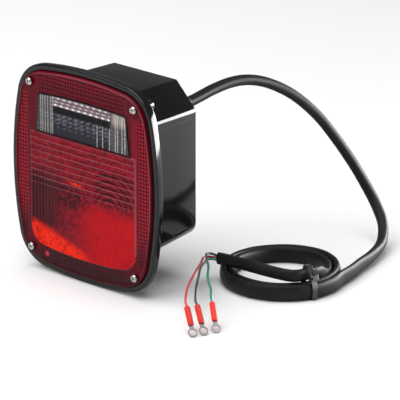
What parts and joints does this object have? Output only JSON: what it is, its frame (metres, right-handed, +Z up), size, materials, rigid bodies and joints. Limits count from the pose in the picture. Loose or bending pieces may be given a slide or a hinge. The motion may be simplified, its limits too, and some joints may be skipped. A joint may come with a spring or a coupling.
{
  "type": "trailer tail light",
  "caption": "Box trailer tail light: black housing, red lens with a clear back-up window, bayonet bulbs, rear studs and a coiled lead with ring terminals.",
  "frame": {"origin": "middle of the back plate's outer face, where the lamp bears on the trailer", "axes": "+Z up, -Y out through the lens, +Y along the mounting studs, +X to the right seen from the front"},
  "size_m": [0.2527, 0.2859, 0.183],
  "materials": {
    "black_abs": "gloss moulded ABS",
    "red_acrylic": "moulded gloss",
    "clear_acrylic": "clear moulded",
    "glass": "clear",
    "white_paint": "white paint",
    "stainless": "bright",
    "zinc": "zinc plated",
    "brass": "plain",
    "phenolic": "phenolic board",
    "rubber": "matte",
    "sleeve_pvc": "satin PVC",
    "nylon": "nylon",
    "black_pvc": "satin PVC",
    "red_pvc": "satin PVC",
    "green_pvc": "satin PVC",
    "red_shrink": "shrink tube"
  },
  "bodies": {
    "lamp": {"housing": "black_abs", "reflector": "white_paint", "divider": "white_paint", "reflector_screw_left": "zinc", "reflector_screw_right": "zinc", "cable_grommet": "rubber", "cable_stop_tie": "nylon", "cable_sleeve": "sleeve_pvc", "cable_tail": "sleeve_pvc", "cable_coil": "sleeve_pvc", "cable_tie": "nylon", "stop_wire": "red_pvc", "tail_wire": "black_pvc", "backup_wire": "green_pvc", "upper_ground_wire": "black_pvc", "lower_ground_wire": "black_pvc", "mount_stud_left": "zinc", "lock_washer_left": "zinc", "mount_nut_left": "zinc", "mount_stud_right": "zinc", "lock_washer_right": "zinc", "mount_nut_right": "zinc", "mount_stud_low": "zinc", "lock_washer_low": "zinc", "mount_nut_low": "zinc", "stop_tail_socket": "zinc", "backup_socket": "zinc", "core_black": "black_pvc", "shrink_black": "red_shrink", "ring_terminal_black": "zinc", "core_red": "red_pvc", "shrink_red": "red_shrink", "ring_terminal_red": "zinc", "core_green": "green_pvc", "shrink_green": "red_shrink", "ring_terminal_green": "zinc"},
    "lens_group": {"lens": "red_acrylic", "backup_window": "clear_acrylic", "lens_gasket": "rubber", "lens_screw_top_left": "stainless", "lens_screw_top_right": "stainless", "lens_screw_bottom_left": "stainless", "lens_screw_bottom_right": "stainless"},
    "stop_tail_bulb": {"stop_tail_bulb_base": "brass", "stop_tail_bulb_glass": "glass", "stop_tail_bulb_mount": "glass"},
    "backup_bulb": {"backup_bulb_base": "brass", "backup_bulb_glass": "glass", "backup_bulb_mount": "glass"},
    "stop_tail_contact": {"stop_tail_contact_disc": "phenolic", "stop_tail_contact_left": "brass", "stop_tail_contact_right": "brass", "stop_tail_spring": "stainless"},
    "backup_contact": {"backup_contact_disc": "phenolic", "backup_contact_centre": "brass", "backup_spring": "stainless"}
  },
  "joints": [
    {"name": "lens_off", "type": "slide", "parent": "lamp", "child": "lens_group", "axis": [0, -1, 0], "range_m": [0, 0.06]},
    {"name": "stop_tail_bulb_turn", "type": "hinge", "parent": "lamp", "child": "stop_tail_bulb", "pos_m": [0, -0.03, -0.029], "axis": [0, -1, 0], "range_deg": [0, 22]},
    {"name": "backup_bulb_turn", "type": "hinge", "parent": "lamp", "child": "backup_bulb", "pos_m": [0, -0.03, 0.036], "axis": [0, -1, 0], "range_deg": [0, 22]},
    {"name": "stop_tail_contact_press", "type": "slide", "parent": "lamp", "child": "stop_tail_contact", "axis": [0, 1, 0], "range_m": [0, 0.0012], "stiffness_N_per_m": 400, "springref_m": -0.002},
    {"name": "backup_contact_press", "type": "slide", "parent": "lamp", "child": "backup_contact", "axis": [0, 1, 0], "range_m": [0, 0.0012], "stiffness_N_per_m": 400, "springref_m": -0.002}
  ]
}
